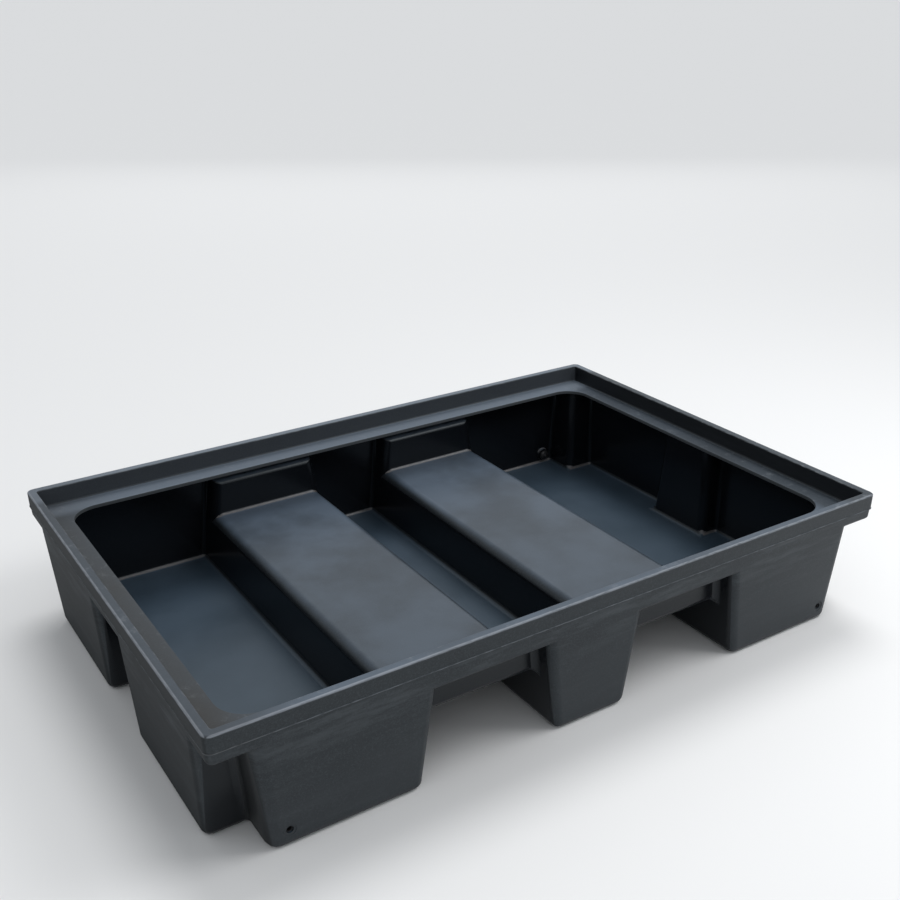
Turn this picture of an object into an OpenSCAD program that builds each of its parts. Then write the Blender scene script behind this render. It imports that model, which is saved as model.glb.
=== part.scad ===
// Spill containment pallet: a one-piece rotationally moulded polyethylene sump
// on three feet, with two fork channels through it, a recessed seat for a
// 1200 x 800 pallet or grid inside a raised rim, and four removable drain plugs.
// Millimetres. X runs along the long side, Y along the forks, Z up from the floor.

/* [Overall] */
// Length over the rim
overall_l = 1240; // [1224:2:1300]
// Width over the rim
overall_w = 840; // [824:2:900]
// Height from the floor to the top of the rim
overall_h = 225; // [215:1:260]
// Thickness of the moulded wall
wall = 8; // [6:0.5:9]

/* [Rim and ledge] */
// Width of the top face of the rim
rim_top_w = 15; // [12:0.5:17]
// Width of the rim where it meets the ledge
rim_root_w = 18; // [17:0.5:20]
// Height of the rim's outer face
rim_face_h = 48; // [44:1:52]
// Height of the upper band, above the parting line
rim_upper_h = 28; // [20:1:34]
// How far the lower band sits in from the upper one
rim_step = 1.5; // [0.5:0.25:2]
// Outer corner radius of the rim
rim_corner_r = 12; // [8:1:30]
// Depth of the ledge below the top of the rim
ledge_depth = 33; // [28:1:36]
// Thickness of the ledge
ledge_t = 7; // [5:0.5:8]
// Distance from the outside of the rim to the mouth, at the ends
mouth_inset_end = 53; // [48:1:56]
// Distance from the outside of the rim to the mouth, at the long sides
mouth_inset_long = 57; // [50:1:58]
// Corner radius of the mouth
mouth_corner_r = 50; // [30:1:60]

/* [Walls] */
// Inset of the long walls below the rim
long_wall_top_in = 2.5; // [2:0.5:5]
// Inset of the long walls at the floor
long_wall_foot_in = 10; // [8:0.5:12]
// Inset of the end walls below the rim
end_wall_top_in = 3; // [2:0.5:5]
// Inset of the end walls at the floor
end_wall_foot_in = 14; // [9:0.5:16]

/* [Fork channels] */
// Half width of the middle foot at the floor
middle_foot_half = 69; // [60:1:75]
// Distance from the centre to the outer side of a channel at the floor
channel_outer = 305; // [295:1:315]
// Height of a channel
channel_h = 96; // [90:1:100]
// Sideways lean of the channel sides, as a slope
side_slope = 0.13; // [0.10:0.01:0.15]
// Depth of the recess in the long wall over a channel, at its foot
recess_foot_in = 46; // [36:1:48]
// Depth of the same recess at its top
recess_top_in = 41; // [34:1:44]
// Height of the top of the recess above the floor
recess_top_z = 166; // [155:1:168]

/* [Notches] */
// Size of a corner notch along the long side, at the floor
corner_notch_l = 77; // [60:1:82]
// Size of a corner notch along the short side, at the floor
corner_notch_w = 83; // [60:1:90]
// Half width of the notch in an end wall, at the floor
end_notch_half = 67; // [50:1:75]
// Depth of the notch in an end wall from the outside of the rim, at the floor
end_notch_in = 52; // [40:1:56]
// Lean of the notch faces, as a slope
notch_slope = 0.11; // [0.06:0.01:0.12]

/* [Drain plugs] */
// Distance of a plug from the outside of the rim, along the long side
plug_from_end = 106; // [102:1:120]
// Height of a plug's centre above the floor
plug_z = 28; // [26:1:34]
// Diameter of the bore in the wall
plug_bore_d = 11.1; // [10:0.1:13]
// Running clearance between the shank and the bore, on the diameter
plug_clearance = 0.1; // [0.04:0.02:0.2]
// Diameter of the plug's head
plug_head_d = 22; // [20:0.5:24]
// Thickness of the rim of the head
plug_head_t = 3; // [2:0.5:5]
// Rise of the domed middle of the head
plug_dome_h = 3.5; // [2:0.5:5]
// Diameter of the grip nub on the head
plug_nub_d = 5; // [4:0.5:7]
// How far the end of the shank stays inside the outer face
plug_recess = 3; // [1:0.5:5]
// Diameter of the boss inside the wall
boss_d = 27; // [25:0.5:30]
// Distance of the boss face from the outside of the rim
boss_in = 22; // [20.5:0.5:24]
// Diameter of the shallow seat milled around the bore on the outside
spot_face_d = 19; // [16:0.5:22]
// Distance of the milled seat from the outside of the rim
spot_face_in = 9.75; // [9.5:0.25:11]
// Outer diameter of the seal
seal_d = 20; // [16:0.5:21]
// Thickness of the seal
seal_t = 2; // [1:0.25:3]
// Gap that keeps the seal clear of the boss
seal_gap = 0.3; // [0.2:0.05:0.5]

/* [Hidden] */

half_l = overall_l / 2;
half_w = overall_w / 2;
rim_foot_z = overall_h - rim_face_h;      // underside of the rim
parting_z = overall_h - rim_upper_h;      // step between the two bands
ledge_z = overall_h - ledge_depth;        // top of the ledge
ledge_under_z = ledge_z - ledge_t;
hump_z = channel_h + wall;                // top of a hump inside the sump
past = 1;                                 // how far a cut runs past a face
plug_x = half_l - plug_from_end;
shank_d = plug_bore_d - plug_clearance;
seal_back = boss_in + seal_gap;           // seal face next to the boss
head_back = seal_back + seal_t;           // head face on the seal
shank_tip = long_wall_foot_in - (long_wall_foot_in - long_wall_top_in) * plug_z / rim_foot_z
          + plug_recess;
$fn = 64;

// Value at height z on a straight line from v0 at z0 to v1 at z1.
function lean(v0, v1, z0, z1, z) = v0 + (v1 - v0) * (z - z0) / (z1 - z0);

// Solid between a rectangle [x0, x1, y0, y1] at z0 and another one at z1.
module drafted(z0, low, z1, high) {
    polyhedron(
        points = [
            [low[0], low[2], z0], [low[1], low[2], z0],
            [low[1], low[3], z0], [low[0], low[3], z0],
            [high[0], high[2], z1], [high[1], high[2], z1],
            [high[1], high[3], z1], [high[0], high[3], z1]],
        faces = [[0, 1, 2, 3], [7, 6, 5, 4], [4, 5, 1, 0], [5, 6, 2, 1], [6, 7, 3, 2], [7, 4, 0, 3]]);
}

// Block with rounded vertical corners, centred on the Z axis.
module rounded_block(l, w, r, z0, z1) {
    translate([0, 0, z0]) linear_extrude(z1 - z0) {
        square([l - 2 * r, w], center = true);
        square([l, w - 2 * r], center = true);
        for (sx = [-1, 1], sy = [-1, 1])
            translate([sx * (l / 2 - r), sy * (w / 2 - r)]) circle(r);
    }
}

// Repeats a shape, drawn at +X, on both sides of the middle.
module both_x() {
    children();
    mirror([1, 0, 0]) children();
}

// Repeats a shape, drawn at +Y, at the front and at the back.
module both_y() {
    children();
    mirror([0, 1, 0]) children();
}

// Walls of the body as one drafted block; skin is how far it is pulled in.
module wall_block(skin, z0, z1) {
    function long_in(z) = lean(long_wall_foot_in, long_wall_top_in, 0, rim_foot_z, z) + skin;
    function end_in(z) = lean(end_wall_foot_in, end_wall_top_in, 0, rim_foot_z, z) + skin;
    x_low = half_l - end_in(z0);
    y_low = half_w - long_in(z0);
    x_high = half_l - end_in(z1);
    y_high = half_w - long_in(z1);
    drafted(z0, [-x_low, x_low, -y_low, y_low], z1, [-x_high, x_high, -y_high, y_high]);
}

// Space of one fork channel at +X; skin thickens it into the hump over it.
module channel_space(skin) {
    top = channel_h + skin;
    inner = middle_foot_half - skin;
    outer = channel_outer + skin;
    y = half_w + past;
    drafted(-past, [inner - side_slope * past, outer + side_slope * past, -y, y],
            top, [inner + side_slope * top, outer - side_slope * top, -y, y]);
}

// Space of the wall recess over the channel at +X, +Y.
module recess_space(skin) {
    z0 = channel_h - past;
    z1 = recess_top_z + skin;
    inner = middle_foot_half - skin;
    outer = channel_outer + skin;
    y_out = half_w + past;
    drafted(z0, [inner + side_slope * z0, outer - side_slope * z0,
                 half_w - recess_foot_in - skin, y_out],
            z1, [inner + side_slope * z1, outer - side_slope * z1,
                 half_w - recess_top_in - skin, y_out]);
}

// Space of the corner notch at +X, +Y, open to the outside up to the rim.
module corner_notch_space(skin, z1) {
    rise = notch_slope * (z1 + past);
    x_low = half_l - corner_notch_l - skin;
    y_low = half_w - corner_notch_w - skin;
    x_out = half_l + past;
    y_out = half_w + past;
    drafted(-past, [x_low, x_out, y_low, y_out],
            z1, [x_low + rise, x_out, y_low + rise, y_out]);
}

// Space of the notch in the end wall at +X.
module end_notch_space(skin, z1) {
    rise = notch_slope * (z1 + past);
    half = end_notch_half + skin;
    x_low = half_l - end_notch_in - skin;
    x_out = half_l + past;
    drafted(-past, [x_low, x_out, -half, half],
            z1, [x_low + rise / 2, x_out, -half + rise / 2, half - rise / 2]);
}

// Every space cut out of the body from below and from the sides.
module outside_spaces(skin, notch_top) {
    both_x() {
        channel_space(skin);
        both_y() recess_space(skin);
        both_y() corner_notch_space(skin, notch_top);
        end_notch_space(skin, notch_top);
    }
}

// Lower body as a full solid, up to the underside of the rim.
module outer_form() {
    difference() {
        wall_block(0, 0, rim_foot_z + past);
        outside_spaces(0, rim_foot_z);
    }
    rounded_block(overall_l - 2 * rim_step, overall_w - 2 * rim_step, rim_corner_r - rim_step,
                  rim_foot_z, parting_z);
    rounded_block(overall_l, overall_w, rim_corner_r, parting_z, overall_h);
}

// Hollow of the sump, from its floor up to the underside of the ledge.
module sump_hollow() {
    difference() {
        wall_block(wall, wall, ledge_under_z);
        outside_spaces(wall, ledge_under_z + past);
    }
}

// Tapered space inside the rim, above the ledge.
module seat_space() {
    x0 = half_l - rim_root_w;
    y0 = half_w - rim_root_w;
    x1 = half_l - rim_top_w;
    y1 = half_w - rim_top_w;
    drafted(ledge_z, [-x0, x0, -y0, y0], overall_h, [-x1, x1, -y1, y1]);
    translate([0, 0, overall_h + past / 2])
        cube([2 * x1, 2 * y1, past + 0.01], center = true);
}

// Puts a shape drawn along +Y from the outer face at a plug's place; the signs
// say which corner of the pallet.
module at_plug(sx, sy) {
    translate([sx * plug_x, sy * half_w, plug_z]) facing(-sy) children();
}

// Turns a shape to face +Y or -Y.
module facing(sign) {
    if (sign > 0) children();
    else mirror([0, 1, 0]) children();
}

// Round bar along +Y between two distances from the outer face.
module bar(d, from, to) {
    translate([0, from, 0]) rotate([-90, 0, 0]) cylinder(d = d, h = to - from);
}

// The one-piece moulding.
module sump_tub() {
    color("dimgray") difference() {
        union() {
            difference() {
                outer_form();
                sump_hollow();
                rounded_block(overall_l - 2 * mouth_inset_end, overall_w - 2 * mouth_inset_long,
                              mouth_corner_r, ledge_under_z - past, ledge_z + past);
                seat_space();
            }
            for (sx = [-1, 1], sy = [-1, 1])
                at_plug(sx, sy) bar(boss_d, spot_face_in + past, boss_in);
        }
        for (sx = [-1, 1], sy = [-1, 1]) at_plug(sx, sy) {
            bar(plug_bore_d, -past, boss_in + past);
            bar(spot_face_d, -past, spot_face_in);
        }
    }
}

// Push-in plug, fitted from inside the sump.
module drain_plug(sx, sy) {
    dome_r = (pow(plug_head_d / 2, 2) + pow(plug_dome_h, 2)) / (2 * plug_dome_h);
    dome_y = head_back + plug_head_t;
    nub_top = dome_y + plug_dome_h + plug_nub_d / 4;
    color("darkslategray") at_plug(sx, sy) {
        bar(shank_d, shank_tip, head_back + past);
        bar(plug_head_d, head_back, dome_y);
        intersection() {
            translate([0, dome_y + plug_dome_h - dome_r, 0]) rotate([-90, 0, 0]) sphere(r = dome_r);
            bar(plug_head_d, dome_y - past, dome_y + plug_dome_h + past);
        }
        bar(plug_nub_d, head_back + past, nub_top);
    }
}

// Flat ring between the plug's head and the boss.
module plug_seal(sx, sy) {
    color("black") at_plug(sx, sy) difference() {
        bar(seal_d, seal_back, head_back);
        bar(shank_d, seal_back - past, head_back + past);
    }
}

sump_tub();
drain_plug(-1, -1);  // drain_plug_front_left
drain_plug(1, -1);  // drain_plug_front_right
drain_plug(-1, 1);  // drain_plug_back_left
drain_plug(1, 1);  // drain_plug_back_right
plug_seal(-1, -1);  // plug_seal_front_left
plug_seal(1, -1);  // plug_seal_front_right
plug_seal(-1, 1);  // plug_seal_back_left
plug_seal(1, 1);  // plug_seal_back_right
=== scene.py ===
import math

import bmesh
import bpy
from mathutils import Euler, Matrix, Vector


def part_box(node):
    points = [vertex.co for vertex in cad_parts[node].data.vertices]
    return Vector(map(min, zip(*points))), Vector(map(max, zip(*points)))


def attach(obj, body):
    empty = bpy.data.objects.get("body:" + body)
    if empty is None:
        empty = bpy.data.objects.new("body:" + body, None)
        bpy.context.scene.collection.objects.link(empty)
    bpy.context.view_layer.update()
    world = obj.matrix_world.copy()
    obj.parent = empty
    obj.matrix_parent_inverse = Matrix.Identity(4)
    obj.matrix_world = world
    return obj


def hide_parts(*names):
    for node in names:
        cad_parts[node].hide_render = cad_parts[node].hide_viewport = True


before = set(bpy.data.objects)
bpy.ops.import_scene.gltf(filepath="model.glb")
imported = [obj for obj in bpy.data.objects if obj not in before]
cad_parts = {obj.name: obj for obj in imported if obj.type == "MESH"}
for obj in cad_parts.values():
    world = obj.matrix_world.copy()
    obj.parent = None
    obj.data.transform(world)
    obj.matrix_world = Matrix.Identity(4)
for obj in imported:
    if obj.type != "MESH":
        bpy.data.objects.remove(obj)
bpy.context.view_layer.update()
bpy.ops.object.select_all(action="DESELECT")

# Camera, standing in front of the left end and looking down on the pallet.
camera_data = bpy.data.cameras.new("camera")
camera_data.sensor_width = 36.0
camera_data.lens = 45.79
camera_data.shift_x = -0.0128
camera_data.shift_y = -0.0036
camera_data.clip_end = 100.0
camera = bpy.data.objects.new("camera", camera_data)
bpy.context.scene.collection.objects.link(camera)
camera_turn = Euler((math.radians(90 - 23.205), 0, math.radians(-33.179))).to_matrix()
camera_roll = Matrix.Rotation(math.radians(-0.173), 3, "Z")
camera.rotation_euler = (camera_turn @ camera_roll).to_euler()
camera.location = (-0.97646, -1.53568, 1.09160)
bpy.context.scene.camera = camera


# The sump tub: one rotationally moulded shell of dark polyethylene, about 8 mm
# thick, standing on three feet with two fork channels between them. The top of
# the closed moulding was cut out with a router, which leaves the ledge.
tub_low, tub_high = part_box("sump_tub")
HALF_L = tub_high.x
HALF_W = tub_high.y
RIM_TOP = tub_high.z
SKIN = 0.008
RIM_UNDER = RIM_TOP - 0.048
PARTING = RIM_TOP - 0.028
RIM_TOP_W = 0.015
RIM_ROOT_W = 0.018
LEDGE = RIM_TOP - 0.033
LEDGE_UNDER = LEDGE - 0.007
LONG_FOOT_IN = 0.010
LONG_TOP_IN = 0.0025
END_FOOT_IN = 0.014
END_TOP_IN = 0.003
CHANNEL_INNER = 0.069
CHANNEL_OUTER = 0.305
CHANNEL_TOP = 0.096
SIDE_SLOPE = 0.13
RECESS_FOOT_IN = 0.046
RECESS_TOP_IN = 0.041
RECESS_TOP = 0.166
CORNER_NOTCH_L = 0.077
CORNER_NOTCH_W = 0.083
END_NOTCH_IN = 0.052
END_NOTCH_HALF_W = 0.067
NOTCH_SLOPE = 0.11
MOUTH_END_IN = 0.053
MOUTH_LONG_IN = 0.057
MOUTH_R = 0.050
CUT_BELOW = -0.002
CUT_PAST = 0.005


def edit(piece):
    """Opens one piece in edit mode with nothing selected."""
    bpy.ops.object.select_all(action="DESELECT")
    bpy.context.view_layer.objects.active = piece
    piece.select_set(True)
    bpy.ops.object.mode_set(mode="EDIT")
    bpy.ops.mesh.select_all(action="DESELECT")


def done():
    """Leaves edit mode."""
    bpy.ops.object.mode_set(mode="OBJECT")


def pick(piece, kind, test):
    """Selects the faces, edges or corners that pass the test, and nothing else."""
    bpy.ops.mesh.select_all(action="DESELECT")
    bpy.ops.mesh.select_mode(type=kind)
    shape = bmesh.from_edit_mesh(piece.data)
    shape.normal_update()
    for item in {"VERT": shape.verts, "EDGE": shape.edges, "FACE": shape.faces}[kind]:
        if test(item):
            item.select_set(True)
    shape.select_flush_mode()
    bmesh.update_edit_mesh(piece.data)


def finish_with(piece, kind, **settings):
    """Adds a modifier, sets it and applies it."""
    bpy.ops.object.select_all(action="DESELECT")
    bpy.context.view_layer.objects.active = piece
    piece.select_set(True)
    bpy.ops.object.modifier_add(type=kind)
    modifier = piece.modifiers[-1]
    for name, value in settings.items():
        setattr(modifier, name, value)
    bpy.ops.object.modifier_apply(modifier=modifier.name)


def combine(piece, tool, operation="DIFFERENCE"):
    """Cuts the tool out of a piece, or melts it on, and throws the tool away."""
    finish_with(piece, "BOOLEAN", operation=operation, solver="EXACT", object=tool)
    bpy.data.objects.remove(tool)


def together(pieces):
    """Joins separate tools into one object."""
    bpy.ops.object.select_all(action="DESELECT")
    for piece in pieces:
        piece.select_set(True)
    bpy.context.view_layer.objects.active = pieces[0]
    bpy.ops.object.join()
    return pieces[0]


def drafted_block(low, bottom, high, top):
    """A block whose top rectangle differs from its bottom one; x0, x1, y0, y1."""
    x0, x1, y0, y1 = low
    u0, u1, v0, v1 = high
    place = Vector(((x0 + x1) / 2, (y0 + y1) / 2, (bottom + top) / 2))
    bpy.ops.mesh.primitive_cube_add(size=1, location=place, scale=(x1 - x0, y1 - y0, top - bottom))
    block = bpy.context.object
    bpy.ops.object.transform_apply()
    edit(block)
    pick(block, "FACE", lambda face: face.normal.z > 0.9)
    centre = Vector(((u0 + u1) / 2, (v0 + v1) / 2, top))
    bpy.ops.transform.translate(value=(centre.x - place.x, centre.y - place.y, 0))
    bpy.ops.transform.resize(
        value=((u1 - u0) / (x1 - x0), (v1 - v0) / (y1 - y0), 1), center_override=centre
    )
    done()
    return block


def wall_block(skin, bottom, top):
    """The drafted outer walls, pulled in by the skin."""

    def half_sizes(z):
        rise = z / RIM_UNDER
        long_in = LONG_FOOT_IN + (LONG_TOP_IN - LONG_FOOT_IN) * rise + skin
        end_in = END_FOOT_IN + (END_TOP_IN - END_FOOT_IN) * rise + skin
        return HALF_L - end_in, HALF_W - long_in

    x0, y0 = half_sizes(bottom)
    x1, y1 = half_sizes(top)
    return drafted_block((-x0, x0, -y0, y0), bottom, (-x1, x1, -y1, y1), top)


def channel_tool(side, skin):
    """A fork channel with the two wall recesses over its ends, as one shape."""

    def across(z):
        inner = CHANNEL_INNER - skin + SIDE_SLOPE * z
        outer = CHANNEL_OUTER + skin - SIDE_SLOPE * z
        return (inner, outer) if side > 0 else (-outer, -inner)

    roof = CHANNEL_TOP + skin
    reach = HALF_W + CUT_PAST
    low = (*across(CUT_BELOW), -reach, reach)
    tool = drafted_block(low, CUT_BELOW, (*across(roof), -reach, reach), roof)
    panel = HALF_W - RECESS_FOOT_IN - skin
    edit(tool)
    for sign in (-1, 1):
        bpy.ops.mesh.select_all(action="SELECT")
        bpy.ops.mesh.bisect(plane_co=(0, sign * panel, 0), plane_no=(0, 1, 0))
    head = RECESS_TOP + skin
    a0, a1 = across(roof)
    b0, b1 = across(head)
    for sign in (-1, 1):
        pick(tool, "FACE", lambda face: face.normal.z > 0.9
             and face.calc_center_median().y * sign > panel)
        bpy.ops.mesh.extrude_region_move(TRANSFORM_OT_translate={"value": (0, 0, head - roof)})
        bpy.ops.transform.resize(
            value=((b1 - b0) / (a1 - a0), 1, 1), center_override=((a0 + a1) / 2, 0, head)
        )
        pick(tool, "EDGE", lambda edge: all(
            v.co.z > head - 0.001 and 0 < v.co.y * sign < panel + 0.001 for v in edge.verts))
        bpy.ops.transform.translate(value=(0, sign * (RECESS_FOOT_IN - RECESS_TOP_IN), 0))
    done()
    return tool


def notch_tool(x_low, y0, y1, lean_x, lean_y0, lean_y1, top, sx):
    """The space of one notch, open towards the end of the pallet."""
    x_out = HALF_L + CUT_PAST
    rise = top - CUT_BELOW
    low = (x_low, x_out, y0, y1)
    high = (x_low + lean_x * rise, x_out, y0 + lean_y0 * rise, y1 + lean_y1 * rise)
    if sx < 0:
        low = (-low[1], -low[0], low[2], low[3])
        high = (-high[1], -high[0], high[2], high[3])
    return drafted_block(low, CUT_BELOW, high, top)


def outside_tools(skin, notch_top):
    """Every space that reaches into the body from below and from the sides."""
    tools = []
    reach = HALF_W + CUT_PAST
    for sx in (-1, 1):
        tools.append(channel_tool(sx, skin))
        x_corner = HALF_L - CORNER_NOTCH_L - skin
        y_corner = HALF_W - CORNER_NOTCH_W - skin
        x_end = HALF_L - END_NOTCH_IN - skin
        half = END_NOTCH_HALF_W + skin
        slope = NOTCH_SLOPE
        tools.append(notch_tool(x_corner, y_corner, reach, slope, slope, 0, notch_top, sx))
        tools.append(notch_tool(x_corner, -reach, -y_corner, slope, 0, -slope, notch_top, sx))
        tools.append(notch_tool(x_end, -half, half, slope / 2, slope / 2, -slope / 2, notch_top, sx))
    return together(tools)


def cleaned(piece, angle=0.2):
    """Merges what a cut left double and takes out edges inside flat faces."""
    edit(piece)
    bpy.ops.mesh.select_all(action="SELECT")
    bpy.ops.mesh.remove_doubles(threshold=0.00002)
    bpy.ops.mesh.dissolve_limited(angle_limit=math.radians(angle))
    bpy.ops.mesh.select_all(action="SELECT")
    bpy.ops.mesh.normals_make_consistent(inside=False)
    done()


def round_edges(piece, radius_of, segments):
    """Rounds every edge by the radius that radius_of gives for its place and run."""
    shape = piece.data
    radii = []
    for edge in shape.edges:
        a, b = (shape.vertices[i].co for i in edge.vertices)
        radii.append(radius_of((a + b) / 2, (b - a).normalized()))
    widest = max(radii)
    weight = shape.attributes.new("bevel_weight_edge", "FLOAT", "EDGE")
    weight.data.foreach_set("value", [radius / widest for radius in radii])
    finish_with(
        piece, "BEVEL", limit_method="WEIGHT", width=widest, segments=segments,
        use_clamp_overlap=False, loop_slide=True,
    )
    shape = piece.data
    shape.attributes.remove(shape.attributes["bevel_weight_edge"])


def outer_radius(middle, run):
    """Radii on the outside of the moulding."""
    x, y, z = abs(middle.x), abs(middle.y), middle.z
    upright = abs(run.z) > 0.9
    on_wall = y > 0.405 or x > 0.600
    if z > RIM_UNDER + 0.001:
        return 0.012 if upright else 0
    if upright and y > 0.405 and x > 0.500:
        return 0.022
    if upright:
        return 0.015 if on_wall else 0.012
    if z > RIM_UNDER - 0.001:
        return 0.007 if on_wall else 0.010
    if z > RECESS_TOP - 0.001:
        return 0.005 if y > 0.405 else 0.008
    if z > CHANNEL_TOP - 0.001:
        return 0.008 if abs(run.y) > 0.9 else 0.012
    return 0.012


def inner_radius(middle, run):
    """Radii on the inside of the sump, seen as the space that is taken out."""
    x, y, z = abs(middle.x), abs(middle.y), middle.z
    upright = abs(run.z) > 0.9
    on_wall = y > 0.390 or x > 0.590
    if z > LEDGE_UNDER - 0.001:
        return 0
    if upright:
        return 0.008 if on_wall else 0.017
    if z > RECESS_TOP + SKIN - 0.001:
        return 0.004 if on_wall else 0.010
    if z > CHANNEL_TOP + SKIN - 0.001:
        return 0.018 if abs(run.y) > 0.9 else 0.008
    return 0.009


def rounded_plate(name, half_l, half_w, radius, z, segments):
    """A flat plate with rounded corners, the start of a rim or of a cut-out."""
    bpy.ops.mesh.primitive_plane_add(size=1, location=(0, 0, z))
    plate = bpy.context.object
    plate.name = name
    plate.scale = (2 * half_l, 2 * half_w, 1)
    bpy.ops.object.transform_apply()
    edit(plate)
    bpy.ops.mesh.select_all(action="SELECT")
    bpy.ops.mesh.bevel(offset=radius, segments=segments, affect="VERTICES")
    done()
    return plate


def raised(plate, half_l, half_w, steps):
    """Draws a plate up through steps of (inset, height) into a closed block."""
    edit(plate)
    bpy.ops.mesh.select_all(action="SELECT")
    last_in, last_z = steps[0]
    for inset, z in steps[1:]:
        bpy.ops.mesh.extrude_region_move(TRANSFORM_OT_translate={"value": (0, 0, z - last_z)})
        ratio_x = (half_l - inset) / (half_l - last_in)
        ratio_y = (half_w - inset) / (half_w - last_in)
        bpy.ops.transform.resize(value=(ratio_x, ratio_y, 1), center_override=(0, 0, z))
        last_in, last_z = inset, z
    bpy.ops.mesh.select_all(action="SELECT")
    bpy.ops.mesh.normals_make_consistent(inside=False)
    done()
    return plate


tub = wall_block(0, 0, PARTING)
tub.name = "moulded_sump_tub"
combine(tub, outside_tools(0, RIM_UNDER))
cleaned(tub)
round_edges(tub, outer_radius, 4)

upper_band = rounded_plate("upper_band", HALF_L - 0.001, HALF_W - 0.001, 0.0115, PARTING - 0.0005, 6)
raised(upper_band, HALF_L, HALF_W, [
    (0.0010, PARTING - 0.0005), (0.0002, PARTING), (0.0002, PARTING + 0.0007),
    (0.0009, PARTING + 0.0014), (0.0003, RIM_TOP - 0.0026), (0.0005, RIM_TOP - 0.0016),
    (0.0010, RIM_TOP - 0.0008), (0.0018, RIM_TOP - 0.0002), (0.0027, RIM_TOP),
])
combine(tub, upper_band, "UNION")

# The seat for a pallet, cut a little over the rim so that it comes out clean.
ROOT_L = HALF_L - RIM_ROOT_W
ROOT_W = HALF_W - RIM_ROOT_W
LIP_L = HALF_L - RIM_TOP_W + 0.0004
LIP_W = HALF_W - RIM_TOP_W + 0.0004
seat = drafted_block(
    (-ROOT_L, ROOT_L, -ROOT_W, ROOT_W), LEDGE, (-LIP_L, LIP_L, -LIP_W, LIP_W), RIM_TOP + 0.005
)
round_edges(seat, lambda middle, run: 0.004 if middle.z < RIM_TOP else 0, 3)
combine(tub, seat)

hollow = wall_block(SKIN, SKIN, LEDGE_UNDER)
combine(hollow, outside_tools(SKIN, LEDGE_UNDER + 0.002))
cleaned(hollow)
round_edges(hollow, inner_radius, 4)
combine(tub, hollow)

mouth_l = HALF_L - MOUTH_END_IN
mouth_w = HALF_W - MOUTH_LONG_IN
mouth = rounded_plate("mouth", mouth_l, mouth_w, MOUTH_R, LEDGE_UNDER - 0.002, 14)
raised(mouth, mouth_l, mouth_w, [(0, LEDGE_UNDER - 0.002), (0, LEDGE + 0.002)])
combine(tub, mouth)
cleaned(tub, 0.05)

# Edges that were left by the router and by the mould's parting, softened.
edit(tub)
pick(tub, "EDGE", lambda edge: all(
    v.co.z > RIM_TOP - 0.0001 and abs(v.co.x) < HALF_L - 0.012 and abs(v.co.y) < HALF_W - 0.012
    for v in edge.verts) and edge.calc_face_angle(0) > 0.5)
bpy.ops.mesh.bevel(offset=0.0025, segments=3, affect="EDGES")
pick(tub, "EDGE", lambda edge: all(
    LEDGE_UNDER - 0.0001 < v.co.z < LEDGE + 0.0001
    and abs(v.co.x) < mouth_l + 0.0005 and abs(v.co.y) < mouth_w + 0.0005
    for v in edge.verts) and edge.calc_face_angle(0) > 0.5)
bpy.ops.mesh.bevel(offset=0.0010, segments=2, affect="EDGES")
done()

# Drain bores low in the long walls, near the ends: each has a moulded boss on
# the inside and a shallow round seat milled around it on the outside.
PLUG_X = HALF_L - 0.106
PLUG_Z = 0.028
BORE_R = 0.00555
CORNERS = {"front_left": (-1, -1), "front_right": (1, -1), "back_left": (-1, 1), "back_right": (1, 1)}


def turned(name, steps, sides=48):
    """A round shape drawn inwards through the front left wall; (distance in, radius)."""
    last_in, last_r = steps[0]
    bpy.ops.mesh.primitive_circle_add(
        vertices=sides, radius=last_r, fill_type="NGON",
        location=(-PLUG_X, last_in - HALF_W, PLUG_Z), rotation=(math.radians(90), 0, 0),
    )
    shape = bpy.context.object
    shape.name = name
    bpy.ops.object.transform_apply()
    edit(shape)
    bpy.ops.mesh.select_all(action="SELECT")
    for way_in, radius in steps[1:]:
        bpy.ops.mesh.extrude_region_move(TRANSFORM_OT_translate={"value": (0, way_in - last_in, 0)})
        ratio = radius / last_r
        bpy.ops.transform.resize(
            value=(ratio, 1, ratio), center_override=(-PLUG_X, way_in - HALF_W, PLUG_Z)
        )
        last_in, last_r = way_in, radius
    bpy.ops.mesh.select_all(action="SELECT")
    bpy.ops.mesh.normals_make_consistent(inside=False)
    done()
    return shape


def at_corner(shape, name, corner):
    """A copy with a mesh of its own, taken from the front left to another corner."""
    sx, sy = CORNERS[corner]
    bpy.ops.object.select_all(action="DESELECT")
    bpy.context.view_layer.objects.active = shape
    shape.select_set(True)
    bpy.ops.object.duplicate()
    copy = bpy.context.object
    copy.name = name
    if sy > 0:
        copy.rotation_euler.z = math.pi
        copy.location.x = (sx - 1) * PLUG_X
    else:
        copy.location.x = (sx + 1) * PLUG_X
    bpy.ops.object.transform_apply()
    return copy


def four(shape):
    """The same shape at all four corners, joined into one tool."""
    others = [at_corner(shape, shape.name, corner) for corner in CORNERS if corner != "front_left"]
    return together([shape, *others])


combine(tub, four(turned("boss", [
    (0.0120, 0.0150), (0.0172, 0.0150), (0.0178, 0.0142), (0.0188, 0.0136),
    (0.0208, 0.0134), (0.0216, 0.0130), (0.0220, 0.0122),
])), "UNION")
combine(tub, four(turned("bore", [(-0.005, BORE_R), (0.025, BORE_R)])))
combine(tub, four(turned("spot_face", [(-0.005, 0.0099), (0.0092, 0.0099), (0.00975, 0.0093)])))


def smooth(piece, degrees):
    """Smooth shading that stays flat on flat faces."""
    bpy.ops.object.select_all(action="DESELECT")
    bpy.context.view_layer.objects.active = piece
    piece.select_set(True)
    bpy.ops.object.shade_smooth_by_angle(angle=math.radians(degrees))
    finish_with(piece, "WEIGHTED_NORMAL", weight=80, keep_sharp=True)


cleaned(tub, 0.05)
smooth(tub, 35)


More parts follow.
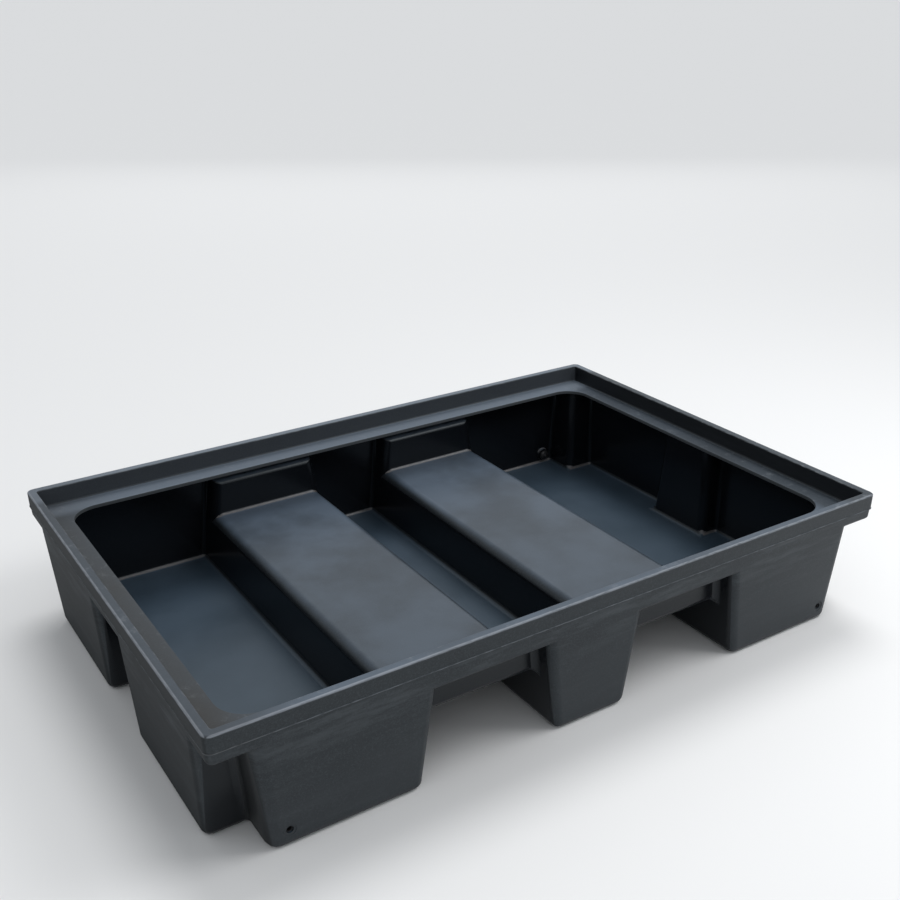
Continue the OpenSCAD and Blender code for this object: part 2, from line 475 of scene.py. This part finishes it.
class Wire:
    """A socket in a material. Sums and products of it add Math nodes."""

    def __init__(self, tree, socket=None):
        self.tree = tree
        self.socket = socket

    def add(self, kind, settings, sockets, output=0):
        """A new node with its settings, then the values or wires of its sockets."""
        node = self.tree.nodes.new(kind)
        for name, value in settings.items():
            setattr(node, name, value)
        for name, value in sockets.items():
            if isinstance(value, Wire):
                self.tree.links.new(value.socket, node.inputs[name])
            else:
                node.inputs[name].default_value = value
        return Wire(self.tree, node.outputs[output])

    def math(self, operation, first, second=0.0):
        return self.add("ShaderNodeMath", {"operation": operation}, {0: first, 1: second})

    def __add__(self, other):
        return self.math("ADD", self, other)

    def __radd__(self, other):
        return self.math("ADD", other, self)

    def __sub__(self, other):
        return self.math("SUBTRACT", self, other)

    def __rsub__(self, other):
        return self.math("SUBTRACT", other, self)

    def __mul__(self, other):
        return self.math("MULTIPLY", self, other)

    def __rmul__(self, other):
        return self.math("MULTIPLY", other, self)

    def above(self, low, high):
        """0 below low, 1 above high, and smooth between them."""
        return self.add(
            "ShaderNodeMapRange", {"interpolation_type": "SMOOTHSTEP"},
            {"Value": self, "From Min": low, "From Max": high, "To Min": 0.0, "To Max": 1.0},
        )

    def noise(self, place, scale, detail=2.0, roughness=0.5):
        """Soft noise from 0 to 1; scale is in spots to the metre."""
        return self.add(
            "ShaderNodeTexNoise", {},
            {"Vector": place, "Scale": scale, "Detail": detail, "Roughness": roughness}, "Fac",
        )

    def axis(self, name):
        """How far a place or a direction goes along one axis."""
        return self.add("ShaderNodeSeparateXYZ", {}, {"Vector": self}, name)

    def blend(self, mask, first, second):
        """The first colour where the mask is 0 and the second where it is 1."""
        return self.add(
            "ShaderNodeMix", {"data_type": "RGBA"}, {0: mask, 6: first, 7: second}, 2
        )

    def feed(self, shader, name):
        """Drives one socket of the shader."""
        self.tree.links.new(self.socket, shader.inputs[name])


def finish(name, **constants):
    """A new material and its shader, with the values that are the same all over."""
    material = bpy.data.materials.new(name)
    material.use_nodes = True
    shader = material.node_tree.nodes["Principled BSDF"]
    for socket, value in constants.items():
        shader.inputs[socket.replace("_", " ")].default_value = value
    return material, shader, Wire(material.node_tree)


# The moulded finish: satin slate grey with a fine speckle, slightly wavy, with
# pale scuffs where things are dragged over the rim and brown dust at one end,
# and with painted light in its colour: sheen, shade and edge highlights.
moulded, shader, wire = finish(
    "moulded_polyethylene", Specular_IOR_Level=0.36, Specular_Tint=(0.86, 0.94, 1.0, 1)
)
place = wire.add("ShaderNodeTexCoord", {}, {}, "Object")
right = place.axis("X")
left = 0 - right
back = place.axis("Y")
z = place.axis("Z")
normal = wire.add("ShaderNodeNewGeometry", {}, {}, "Normal")
facing_up = normal.axis("Z")
facing_left = 0 - normal.axis("X")
facing_front = 0 - normal.axis("Y")
level = facing_up.above(0.6, 1.0)
upright = 1 - wire.math("ABSOLUTE", facing_up).above(0.15, 0.6)
inset = wire.math("MINIMUM", HALF_L - wire.math("ABSOLUTE", right), HALF_W - wire.math("ABSOLUTE", back))

# Where a surface lies on the tub.
on_ledge = z.above(LEDGE - 0.022, LEDGE - 0.002)
on_rim = z.above(RIM_TOP - 0.005, RIM_TOP - 0.003)
under_ledge = 1 - z.above(LEDGE_UNDER - 0.001, LEDGE_UNDER + 0.002)
inward = (facing_front * back - facing_left * left).above(0.01, 0.04)
inner_side = wire.math("MAXIMUM", inward, inset.above(0.0160, 0.0175)) * under_ledge
shaded_inner_wall = upright * inner_side
dusty_end = left.above(0.46, 0.60)
end_wall = facing_left.above(0.6, 0.9) * left.above(0.50, 0.55)

# The pigment: a dark slate, clouded, with two sizes of paler grain in it.
speckle = wire.noise(place, 700.0, 2.0, 0.7)
fleck = wire.noise(place, 300.0, 3.0, 0.6)
cloud = wire.noise(place, 7.0, 4.0, 0.55)
slate = wire.blend(cloud.above(0.3, 0.7), (0.0080, 0.0105, 0.0130, 1), (0.0130, 0.0160, 0.0185, 1))
slate = wire.blend(speckle.above(0.38, 0.72) * 0.50, slate, (0.034, 0.041, 0.046, 1))
slate = wire.blend(fleck.above(0.50, 0.70) * 0.42, slate, (0.044, 0.050, 0.057, 1))

# Painted sheen: the faces that look up are made paler and bluish, as if they
# reflected a bright sky, most towards the back. There is less of it on the dusty
# left ledge, and the right ledge is kept darker as painted shade.
drag_place = wire.add("ShaderNodeMapping", {}, {"Vector": place, "Scale": (25.0, 25.0, 300.0)})
drag = wire.noise(drag_place, 2.2, 4.0, 0.65)
painted_sheen = level * (0.30 + cloud.above(0.3, 0.7) * 0.40 + on_ledge * 0.30) * (0.80 + speckle * 0.40)
painted_sheen = painted_sheen * (1 - dusty_end * on_ledge * (0.85 - on_rim * (0.35 + drag * 0.40)))
painted_sheen = painted_sheen * (1 - right.above(0.54, 0.57) * on_ledge * 0.7)
painted_sheen = painted_sheen * (1 + back.above(-0.1, 0.36) * (0.80 - on_rim * 1.05))
slate = wire.blend(painted_sheen, slate, (0.066, 0.088, 0.118, 1))
# Painted reflection: the sump floor is tinted teal-blue and the back ledge is made brighter, as a
# reflected bright sky would show on them.
sump_floor_sheen = level * (1 - z.above(0.012, 0.030))
slate = wire.blend(sump_floor_sheen * 0.65, slate, (0.028, 0.049, 0.071, 1))
back_ledge_sheen = level * on_ledge * back.above(0.34, 0.37) * (1 - inset.above(0.060, 0.075))
slate = wire.blend(back_ledge_sheen * 0.8, slate, (0.125, 0.150, 0.183, 1))

# Upright faces: painted shade makes them near black inside the sump and on the
# left-facing inner face of the rim, and darker at the left end, which is also
# rougher. The back rim's inner face gets a painted highlight, and the feet are
# painted paler low down, where light from the floor would fall on them.
# Painted shade: upright faces inside the sump are made near black.
slate = wire.blend(shaded_inner_wall * 0.85, slate, (0.0025, 0.0030, 0.0045, 1))
rim_inside = z.above(LEDGE - 0.0005, LEDGE + 0.0020)
rim_inside = rim_inside * inset.above(0.0125, 0.0140) * (1 - inset.above(0.0190, 0.0205))
# Painted highlight on the inner rim face that looks to the front; painted shade on the one that looks to
# the left.
slate = wire.blend(rim_inside * facing_front.above(0.6, 0.9) * 0.5, slate, (0.050, 0.056, 0.066, 1))
slate = wire.blend(rim_inside * facing_left.above(0.6, 0.9) * 0.9, slate, (0.0025, 0.0030, 0.0045, 1))
# Painted shade: the outer left end wall is made darker.
slate = wire.blend(end_wall * 0.55, slate, (0.0080, 0.0085, 0.0085, 1))
# Painted light: the outer walls are made paler low down, as light bounced off the floor would make them.
floor_bounce_light = upright * (1 - z.above(0.02, 0.16)) * (1 - end_wall) * (1 - inner_side)
slate = wire.blend(floor_bounce_light * 0.35, slate, (0.050, 0.056, 0.062, 1))

# Level smears, most of them just below the parting line.
smear_place = wire.add("ShaderNodeMapping", {}, {"Vector": place, "Scale": (5.0, 5.0, 40.0)})
smear = wire.noise(smear_place, 1.6, 5.0, 0.68).above(0.44, 0.70)
under_parting = z.above(0.120, 0.175) * (1 - z.above(PARTING - 0.003, PARTING))
smear = smear * upright * (1 - inner_side) * (0.25 + under_parting * 0.75)
smear = smear * (0.50 - z.above(PARTING, PARTING + 0.002) * 0.25)
slate = wire.blend(smear, slate, (0.060, 0.069, 0.076, 1))

# Pale wear on the rim's edges, on the parting line and here and there on top;
# the rim's outer top edge also carries a painted highlight line.
rim_edge = z.above(RIM_TOP - 0.0032, RIM_TOP - 0.0010) * (1 - inset.above(0.0022, 0.0040))
rim_lip = z.above(RIM_TOP - 0.0025, RIM_TOP - 0.0005)
rim_lip = rim_lip * inset.above(0.0125, 0.0145) * (1 - inset.above(0.0155, 0.0165))
parting_line = z.above(PARTING - 0.0012, PARTING - 0.0002)
parting_line = parting_line * (1 - z.above(PARTING + 0.0008, PARTING + 0.0020))
parting_line = parting_line * (1 - inset.above(0.004, 0.006)) * drag.above(0.35, 0.65)
scuff_and_glint = rim_edge * (0.25 + drag.above(0.38, 0.60) * 0.75) + rim_lip * drag.above(0.45, 0.65) * 0.6
scuff_and_glint = scuff_and_glint + parting_line * 0.45
rubbed = facing_up.above(0.5, 1.0) * z.above(LEDGE - 0.012, LEDGE - 0.002) * drag.above(0.56, 0.74) * 0.30
slate = wire.blend(wire.math("MINIMUM", scuff_and_glint + rubbed, 0.85), slate, (0.190, 0.205, 0.225, 1))
# Painted highlight, mixed with wear: a bluish-white line along the rim's outer top edge, brightest to the
# left.
worn_and_glinting_edge = rim_edge * (0.35 + cloud.above(0.35, 0.65) * 0.30) * (0.35 + left.above(-0.3, 0.5) * 0.45)
slate = wire.blend(worn_and_glinting_edge, slate, (0.280, 0.305, 0.350, 1))

# The router's cut round the mouth, the dust, and a painted highlight along the
# fillets in the sump that face the front.
cut_edge = z.above(LEDGE_UNDER + 0.0002, LEDGE_UNDER + 0.0009)
cut_edge = cut_edge * (1 - z.above(LEDGE - 0.0009, LEDGE - 0.0002)) * inset.above(0.035, 0.040)
slate = wire.blend(cut_edge * 0.55, slate, (0.085, 0.092, 0.098, 1))
dust = dusty_end * on_ledge * facing_up.above(0.3, 1.0) * (0.35 + cloud.above(0.35, 0.65) * 0.65)
slate = wire.blend(dust * (0.60 - on_rim * 0.25), slate, (0.044, 0.038, 0.031, 1))
# Painted highlight: pale pinkish lines on the concave fillets inside the sump that face the front.
fillet_highlight = facing_up.above(0.35, 0.55) * (1 - facing_up.above(0.78, 0.94)) * facing_front.above(0.15, 0.50)
fillet_highlight = fillet_highlight * inset.above(0.0150, 0.0165) * (1 - z.above(0.12, 0.13))
fillet_highlight = fillet_highlight * (0.5 + drag.above(0.35, 0.65) * 0.5)
slate = wire.blend(fillet_highlight * 0.80, slate, (0.165, 0.152, 0.150, 1))
slate.feed(shader, "Base Color")

satin = 0.38 + cloud * 0.10 + fleck * 0.08 + scuff_and_glint * 0.2 + cut_edge * 0.2 + dust * 0.2
satin = satin - inner_side * 0.12 - shaded_inner_wall * 0.14 + end_wall * 0.30
satin.feed(shader, "Roughness")
streak_place = wire.add("ShaderNodeMapping", {}, {"Vector": place, "Scale": (60.0, 60.0, 9.0)})
streak = wire.noise(streak_place, 1.0, 3.0, 0.6)
waves = wire.noise(place, 22.0, 2.0, 0.5)
peel = wire.noise(place, 240.0, 2.0, 0.5)
height = waves * 0.35 + peel * 0.035 + speckle * 0.012 + streak * 0.02
bump = wire.add("ShaderNodeBump", {}, {"Strength": 0.7, "Distance": 0.001, "Height": height})
bump.feed(shader, "Normal")

tub.data.materials.clear()
tub.data.materials.append(moulded)
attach(tub, "tub")
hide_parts("sump_tub")


# Drain plugs: smooth black moulded plastic, pushed in from inside the sump. The
# domed head with its grip nub stays inside, and the shank ends short of the
# outer face of the wall.
plug_black, shader, wire = finish("plug_plastic", Specular_IOR_Level=0.5)
place = wire.add("ShaderNodeTexCoord", {}, {}, "Object")
swirl = wire.noise(place, 90.0, 3.0, 0.6)
fine = wire.noise(place, 900.0, 2.0, 0.6)
dark = wire.blend(swirl.above(0.35, 0.7), (0.010, 0.010, 0.011, 1), (0.022, 0.022, 0.024, 1))
dark = wire.blend(fine.above(0.62, 0.75) * 0.5, dark, (0.07, 0.07, 0.07, 1))
dark.feed(shader, "Base Color")
(0.20 + swirl * 0.12 + fine * 0.08).feed(shader, "Roughness")
bump = wire.add("ShaderNodeBump", {}, {"Strength": 0.4, "Distance": 0.0002, "Height": swirl + fine * 0.3})
bump.feed(shader, "Normal")

plug = turned("plug_front_left", [
    (0.02050, 0.0030), (0.02000, 0.0036), (0.01220, 0.0039), (0.01185, 0.0043), (0.01200, 0.0049),
    (0.01250, 0.0052), (0.01360, 0.0054), (0.01600, 0.0054), (0.01630, 0.0052), (0.01700, 0.0052),
    (0.01730, 0.0054),
    (0.02430, 0.0054), (0.02431, 0.0102), (0.02455, 0.0108), (0.02500, 0.0110), (0.02660, 0.0110),
    (0.02705, 0.0108), (0.02728, 0.0103), (0.02740, 0.0099), (0.02790, 0.0093), (0.02890, 0.0080),
    (0.02980, 0.0060), (0.03040, 0.0042), (0.03065, 0.0029), (0.03120, 0.0026), (0.03175, 0.0023),
    (0.03200, 0.0018), (0.03205, 0.0010),
])
plug.data.materials.append(plug_black)
smooth(plug, 40)
for corner in CORNERS:
    piece = plug if corner == "front_left" else at_corner(plug, "plug_" + corner, corner)
    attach(piece, "plug_" + corner)
    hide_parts("drain_plug_" + corner)


# Seals: flat rings of black rubber between the head of a plug and its boss.
rubber, shader, wire = finish("seal_rubber", Specular_IOR_Level=0.3)
place = wire.add("ShaderNodeTexCoord", {}, {}, "Object")
powder = wire.noise(place, 500.0, 3.0, 0.6)
black = wire.blend(powder.above(0.4, 0.75), (0.012, 0.012, 0.012, 1), (0.035, 0.034, 0.033, 1))
black.feed(shader, "Base Color")
(0.65 + powder * 0.2).feed(shader, "Roughness")
bump = wire.add("ShaderNodeBump", {}, {"Strength": 0.5, "Distance": 0.0002, "Height": powder})
bump.feed(shader, "Normal")

seal = turned("seal_front_left", [
    (0.02232, 0.0094), (0.02246, 0.0098), (0.02275, 0.0100), (0.02385, 0.0100),
    (0.02414, 0.0098), (0.02428, 0.0094),
])
combine(seal, turned("seal_bore", [(0.020, BORE_R), (0.026, BORE_R)]))
seal.data.materials.clear()
seal.data.materials.append(rubber)
smooth(seal, 50)
for corner in CORNERS:
    piece = seal if corner == "front_left" else at_corner(seal, "seal_" + corner, corner)
    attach(piece, "plug_" + corner)
    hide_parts("plug_seal_" + corner)


# Floor and light: a plain pale floor, a bright soft panel high behind the
# pallet, which gives the upper faces their sheen, a small one over its front,
# which draws the lines of light along the edges, and pale light all round.
bpy.ops.mesh.primitive_plane_add(size=200, location=(0, 0, 0))
floor = bpy.context.object
floor.name = "floor"
pale, shader, wire = finish(
    "pale_floor", Base_Color=(0.80, 0.80, 0.80, 1), Roughness=0.9, Specular_IOR_Level=0.1
)
floor.data.materials.append(pale)


def panel(name, place, width, depth, power):
    """A soft light panel that faces the middle of the pallet."""
    light = bpy.data.lights.new(name, "AREA")
    light.shape = "RECTANGLE"
    light.size = width
    light.size_y = depth
    light.energy = power
    lamp = bpy.data.objects.new(name, light)
    lamp.location = place
    lamp.visible_camera = False
    lamp.rotation_euler = (Vector((0, 0, 0.1)) - Vector(place)).to_track_quat("-Z", "Y").to_euler()
    bpy.context.scene.collection.objects.link(lamp)


panel("back_panel", (2.2, 3.4, 2.1), 5.0, 3.2, 15)
panel("overhead_panel", (1.2, -0.95, 1.9), 1.1, 1.1, 20)
key = bpy.data.lights.new("key", "SUN")
key.energy = 1.1
key.angle = math.radians(26)
key_lamp = bpy.data.objects.new("key", key)
key_lamp.rotation_euler = Vector((-0.30, -0.42, -1.0)).to_track_quat("-Z", "Y").to_euler()
bpy.context.scene.collection.objects.link(key_lamp)
world = bpy.data.worlds.new("world")
bpy.context.scene.world = world
world.use_nodes = True
world.node_tree.nodes["Background"].inputs["Color"].default_value = (0.94, 0.97, 1.0, 1)
world.node_tree.nodes["Background"].inputs["Strength"].default_value = 0.6
bpy.context.scene.view_settings.view_transform = "Standard"
